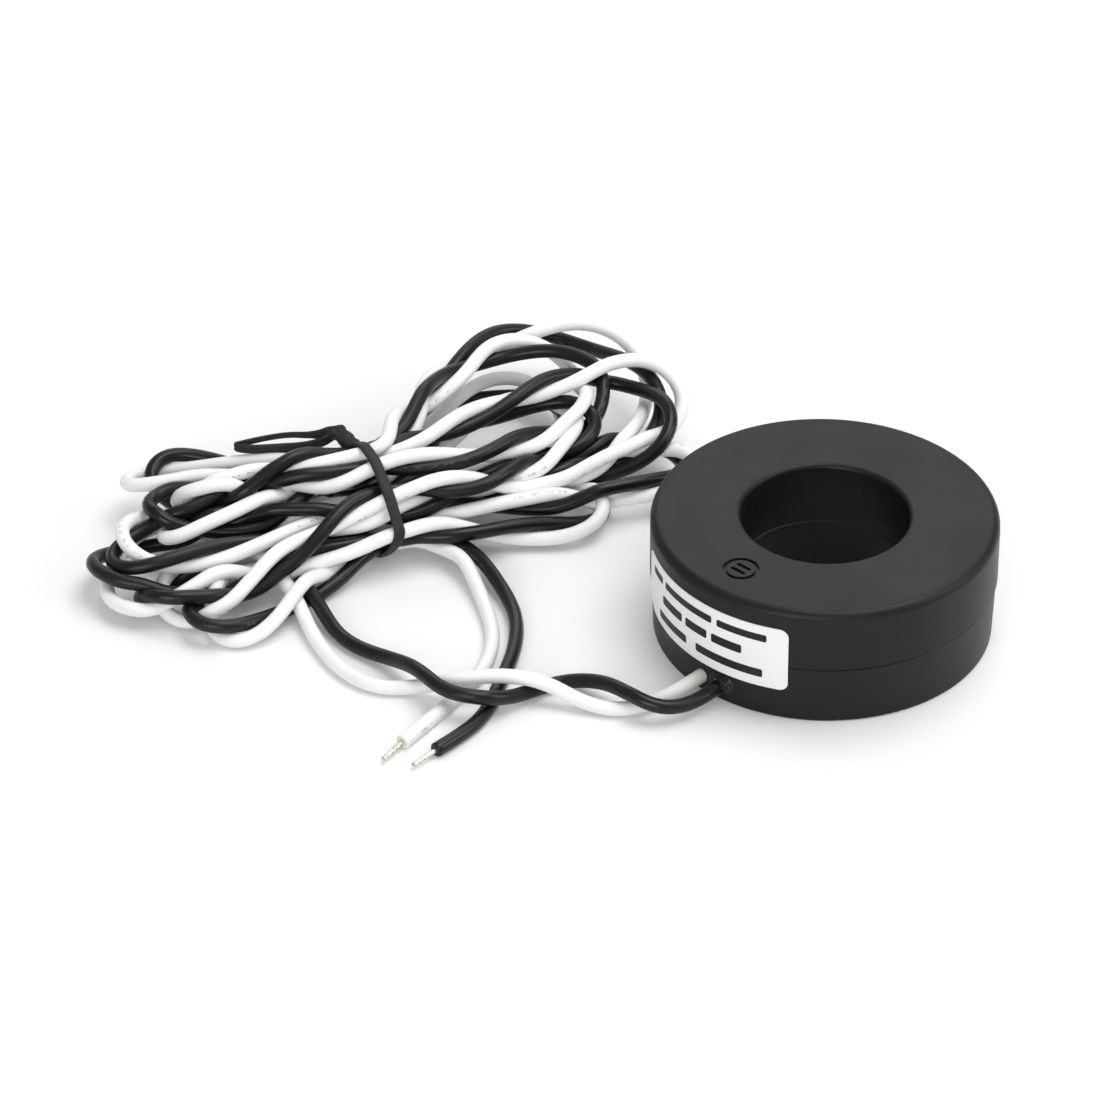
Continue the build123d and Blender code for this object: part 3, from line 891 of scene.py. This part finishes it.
def noise(tree, size, detail=2.0, rough=0.5, spot=None):
    """Noise whose features are about size metres across."""
    spot = spot or place_of(tree)
    made = node(tree, "TexNoise", Vector=spot, Scale=1 / size, Detail=detail, Roughness=rough)
    return made.outputs["Fac"]


def spread(tree, value, low, high, to_low=0.0, to_high=1.0):
    """The value from low to high, clamped, brought to another range."""
    made = node(tree, "MapRange", Value=value, interpolation_type="SMOOTHSTEP")
    limits = {"From Min": low, "From Max": high, "To Min": to_low, "To Max": to_high}
    for socket, number in limits.items():
        made.inputs[socket].default_value = number
    return made.outputs["Result"]


def maths(tree, operation, first, second=0.0):
    """A Math node of two sockets or numbers."""
    made = node(tree, "Math", operation=operation)
    for slot, value in enumerate((first, second)):
        feed(tree, value, made.inputs[slot])
    return made.outputs["Value"]


def product(tree, first, *others):
    """All the sockets or numbers multiplied."""
    for other in others:
        first = maths(tree, "MULTIPLY", first, other)
    return first


def mixed(tree, factor, first, second):
    """A colour between two colours or sockets."""
    made = tree.nodes.new("ShaderNodeMix")
    made.data_type = "RGBA"
    tree.links.new(factor, made.inputs["Factor"])
    for slot, value in ((6, first), (7, second)):
        colour = value if isinstance(value, bpy.types.NodeSocket) else (*value, 1)
        feed(tree, colour, made.inputs[slot])
    return made.outputs[2]


def bumps(tree, surface, *layers):
    """Bump layers on a shader: each a height, its strength and its depth in metres."""
    normal = None
    for height, strength, depth in layers:
        made = node(tree, "Bump", Height=height, Strength=strength, Distance=depth)
        if normal:
            tree.links.new(normal, made.inputs["Normal"])
        normal = made.outputs["Normal"]
    tree.links.new(normal, surface.inputs["Normal"])


def moulded_plastic(name, dark, light, roughness):
    """Black moulded plastic with a fine eroded grain, faint flow marks and hairline rubs."""
    material, tree, surface = shader(name, dark, roughness, Specular_IOR_Level=0.24)
    cloud = noise(tree, 0.012, detail=3.0)
    grain = noise(tree, 0.00022, detail=2.0, rough=0.6)
    stretched = place_of(tree, stretch=(1, 14, 3), turn=(0.2, 0.1, 0.6))
    rubs = noise(tree, 0.004, detail=4.0, rough=0.7, spot=stretched)
    rubbed = spread(tree, rubs, 0.6, 0.72)
    tone = mixed(tree, spread(tree, cloud, 0.35, 0.7), dark, light)
    tone = mixed(tree, product(tree, rubbed, 0.22), tone, [c * 2.2 for c in light])
    tree.links.new(tone, surface.inputs["Base Color"])
    rough = spread(tree, cloud, 0.3, 0.7, roughness - 0.04, roughness + 0.05)
    rough = maths(tree, "SUBTRACT", rough, product(tree, rubbed, 0.06))
    tree.links.new(rough, surface.inputs["Roughness"])
    bumps(tree, surface, (cloud, 0.05, 0.0006), (grain, 0.16, 0.00005))
    return material


def worn_print(tree, distance, share):
    """How strongly the jacket's worn print marks show, from the place along and round it."""
    group = maths(tree, "FRACT", maths(tree, "DIVIDE", distance, print_group))
    in_group = spread(tree, group, *group_end, 1.0, 0.0)
    stroke = maths(tree, "FRACT", maths(tree, "DIVIDE", distance, print_stroke))
    in_stroke = spread(tree, stroke, *stroke_end, 1.0, 0.0)
    off_middle = maths(tree, "ABSOLUTE", maths(tree, "SUBTRACT", share, print_side))
    in_band = spread(tree, off_middle, *print_edge, 1.0, 0.0)
    worn = spread(tree, noise(tree, 0.0006), 0.4, 0.6)
    return product(tree, in_group, in_stroke, in_band, worn, print_strength)


def stained(tree, tone, place, reach, strength):
    """The tone with a patchy stain round a place in mm, which fades out at its reach."""
    spot = node(tree, "TexCoord").outputs["Object"]
    away = node(tree, "VectorMath", operation="DISTANCE")
    tree.links.new(spot, away.inputs[0])
    away.inputs[1].default_value = tuple(float(c) * MM for c in place)
    patchy = spread(tree, noise(tree, 0.0009), 0.25, 0.6, 0.5, 1.0)
    near = spread(tree, away.outputs["Value"], reach * 0.5 * MM, reach * MM, strength, 0.0)
    return mixed(tree, product(tree, near, patchy), tone, stain_colour)


def jacket(name, main, shade, ink, roughness, specular, stains=()):
    """Extruded PVC wire jacket: faint drawing lines, soft smudges and worn print marks in dashes.
    Each stain is a place in mm, how far it reaches and how strong it is."""
    material, tree, surface = shader(name, main, roughness, Specular_IOR_Level=specular)
    along = node(tree, "UVMap", uv_map="along").outputs["UV"]
    split = node(tree, "SeparateXYZ", Vector=along)
    smudge = noise(tree, 0.009, detail=3.0)
    drawn = node(tree, "Mapping", Vector=along, Scale=(60, 26, 1)).outputs["Vector"]
    lines = noise(tree, 1.0, spot=drawn)
    tone = mixed(tree, spread(tree, smudge, 0.4, 0.75), main, shade)
    printed = worn_print(tree, split.outputs["X"], split.outputs["Y"])
    tone = mixed(tree, printed, tone, ink)
    for stain in stains:
        tone = stained(tree, tone, *stain)
    tree.links.new(tone, surface.inputs["Base Color"])
    rough = spread(tree, smudge, 0.3, 0.7, roughness - 0.05, roughness + 0.07)
    tree.links.new(rough, surface.inputs["Roughness"])
    bumps(tree, surface, (lines, 0.08, 0.00008), (smudge, 0.06, 0.0004))
    return material


def plain(name, dark, light, roughness, size, depth, **settings):
    """A surface with two tones and one bump of this depth, at one scale of noise."""
    material, tree, surface = shader(name, dark, roughness, **settings)
    cloud = noise(tree, size, detail=3.0)
    tone = mixed(tree, spread(tree, cloud, 0.3, 0.7), dark, light)
    tree.links.new(tone, surface.inputs["Base Color"])
    rough = spread(tree, cloud, 0.3, 0.7, roughness - 0.06, roughness + 0.06)
    tree.links.new(rough, surface.inputs["Roughness"])
    bumps(tree, surface, (cloud, 0.3, depth))
    return material


def dress(thing, material):
    thing.data.materials.clear()
    thing.data.materials.append(material)


black_plastic = moulded_plastic(
    "black_plastic", dark=(0.0062, 0.0062, 0.0069), light=(0.0088, 0.0088, 0.0097), roughness=0.42
)
# Flux stains: at the cut end of the white jacket, and on it where it leaves the housing.
flux_stains = [((*white_tail_route[-1][:2], floor_gap), 1.9, 0.8), ((-18.6, -17.4, 3.2), 3.4, 0.3)]
white_jacket = jacket(
    "white_jacket", main=(0.86, 0.87, 0.86), shade=(0.80, 0.81, 0.80), ink=(0.2, 0.21, 0.22),
    roughness=0.4, specular=0.4, stains=flux_stains,
)
black_jacket = jacket(
    "black_jacket", main=(0.0065, 0.0065, 0.0075), shade=(0.010, 0.010, 0.011),
    ink=(0.09, 0.09, 0.1), roughness=0.3, specular=0.3,
)
# Each: name, dark and light tone, roughness, size of its clouds and depth of its bumps.
resin = plain(
    "resin", (0.006, 0.006, 0.007), (0.011, 0.011, 0.012), 0.2, 0.0011, 0.0004,
    Specular_IOR_Level=0.35,
)
label_face = plain("label_face", (0.86, 0.86, 0.86), (0.89, 0.89, 0.89), 0.5, 0.006, 0.00002)
label_ink = plain(
    "label_ink", (0.012, 0.012, 0.014), (0.02, 0.02, 0.022), 0.45, 0.0004, 0.00001,
    Specular_IOR_Level=0.2,
)
tie_plastic = plain(
    "tie_plastic", (0.019, 0.0175, 0.0155), (0.03, 0.0275, 0.0245), 0.56, 0.0009, 0.00005,
    Specular_IOR_Level=0.25,
)
tinned = plain(
    "tinned_copper", (0.56, 0.53, 0.44), (0.70, 0.67, 0.58), 0.3, 0.0005, 0.00002, Metallic=1.0
)
copper = plain(
    "winding_enamel", (0.42, 0.13, 0.045), (0.55, 0.20, 0.075), 0.3, 0.0003, 0.00006, Metallic=1.0
)
core_steel = plain(
    "core_steel", (0.34, 0.34, 0.35), (0.44, 0.44, 0.45), 0.38, 0.0005, 0.00005, Metallic=1.0
)
box_plastic = plain("box_plastic", (0.55, 0.53, 0.47), (0.62, 0.60, 0.54), 0.48, 0.003, 0.00003)
tape = plain("polyester_tape", (0.55, 0.36, 0.05), (0.66, 0.45, 0.08), 0.25, 0.0021, 0.00006)
solder = plain("solder", (0.58, 0.58, 0.57), (0.70, 0.70, 0.69), 0.3, 0.0004, 0.00005, Metallic=1.0)
sleeve = plain("splice_sleeve", (0.012, 0.012, 0.013), (0.02, 0.02, 0.022), 0.5, 0.0007, 0.00004)

cad_materials = {
    "upper_shell": black_plastic, "lower_shell": black_plastic, "core": core_steel,
    "core_box_base": box_plastic, "core_box_lid": box_plastic, "secondary_winding": copper,
    "winding_tape": tape, "white_winding_end": copper, "black_winding_end": copper,
    "white_solder_joint": solder, "black_solder_joint": solder, "white_splice_sleeve": sleeve,
    "black_splice_sleeve": sleeve, "potting_resin": resin,
}
for name, material in cad_materials.items():
    dress(nodes[name], material)
dress(bpy.data.objects["white_wire"], white_jacket)
dress(bpy.data.objects["black_wire"], black_jacket)
dress(label_sheet, label_face)
dress(exit_resin, resin)
for piece in label_bars:
    dress(piece, label_ink)
for piece in tie_pieces:
    dress(piece, tie_plastic)
for piece in stripped_ends:
    dress(piece, tinned)

# ------------ floor and light, in metres

floor_corners = [(-1500, -900, 0), (1500, -900, 0), (1500, 2600, 0), (-1500, 2600, 0)]  # in mm
floor_glow = 0.08
sky_light = 0.42


def make_floor():
    """A pale floor that the camera and glossy surfaces see a little brighter."""
    floor = mesh_object("floor", floor_corners, [(0, 1, 2, 3)])
    material, tree, surface = shader("floor", (0.8, 0.8, 0.8), 0.6, Specular_IOR_Level=0.2)
    path = node(tree, "LightPath")
    glow = node(tree, "Emission", Color=(1, 1, 1, 1))
    seen = maths(tree, "MAXIMUM", path.outputs["Is Camera Ray"], path.outputs["Is Glossy Ray"])
    tree.links.new(product(tree, seen, floor_glow), glow.inputs["Strength"])
    total = node(tree, "AddShader")
    tree.links.new(surface.outputs["BSDF"], total.inputs[0])
    tree.links.new(glow.outputs["Emission"], total.inputs[1])
    tree.links.new(total.outputs["Shader"], tree.nodes["Material Output"].inputs["Surface"])
    dress(floor, material)


def make_world():
    """A white world, which lights the object less than it shows."""
    world = bpy.data.worlds.new("studio")
    bpy.context.scene.world = world
    world.use_nodes = True
    tree = world.node_tree
    path = node(tree, "LightPath")
    through = path.outputs["Is Transmission Ray"]
    seen = maths(tree, "MAXIMUM", path.outputs["Is Camera Ray"], through)
    strength = maths(tree, "ADD", product(tree, seen, 1 - sky_light), sky_light)
    tree.links.new(strength, tree.nodes["Background"].inputs["Strength"])
    tree.nodes["Background"].inputs["Color"].default_value = (1, 1, 1, 1)


def make_lamp(name, place, target, width, depth, power):
    """A rectangular lamp at a place, turned to its target."""
    lamp = bpy.data.objects.new(name, bpy.data.lights.new(name, "AREA"))
    lamp.data.shape = "RECTANGLE"
    lamp.data.size, lamp.data.size_y, lamp.data.energy = width, depth, power
    lamp.location = place
    lamp.rotation_euler = (Vector(target) - Vector(place)).to_track_quat("-Z", "Y").to_euler()
    bpy.context.scene.collection.objects.link(lamp)


make_floor()
make_world()
# Each lamp: name, place, target, width, depth and power in watts.
make_lamp("overhead", (0.25, 0.1, 0.95), (-0.04, 0.02, 0), 0.8, 0.6, 6.2)
make_lamp("right_fill", (0.8, -0.1, 0.45), (-0.02, 0.0, 0), 0.5, 0.4, 2.2)
make_lamp("front_fill", (-0.35, -1.0, 0.45), (-0.04, 0.0, 0.01), 0.7, 0.5, 5.0)
make_lamp("back_window", (0.0, 1.15, 0.8), (-0.03, 0.02, 0.01), 1.1, 0.5, 3.2)
bpy.context.scene.view_settings.view_transform = "Standard"
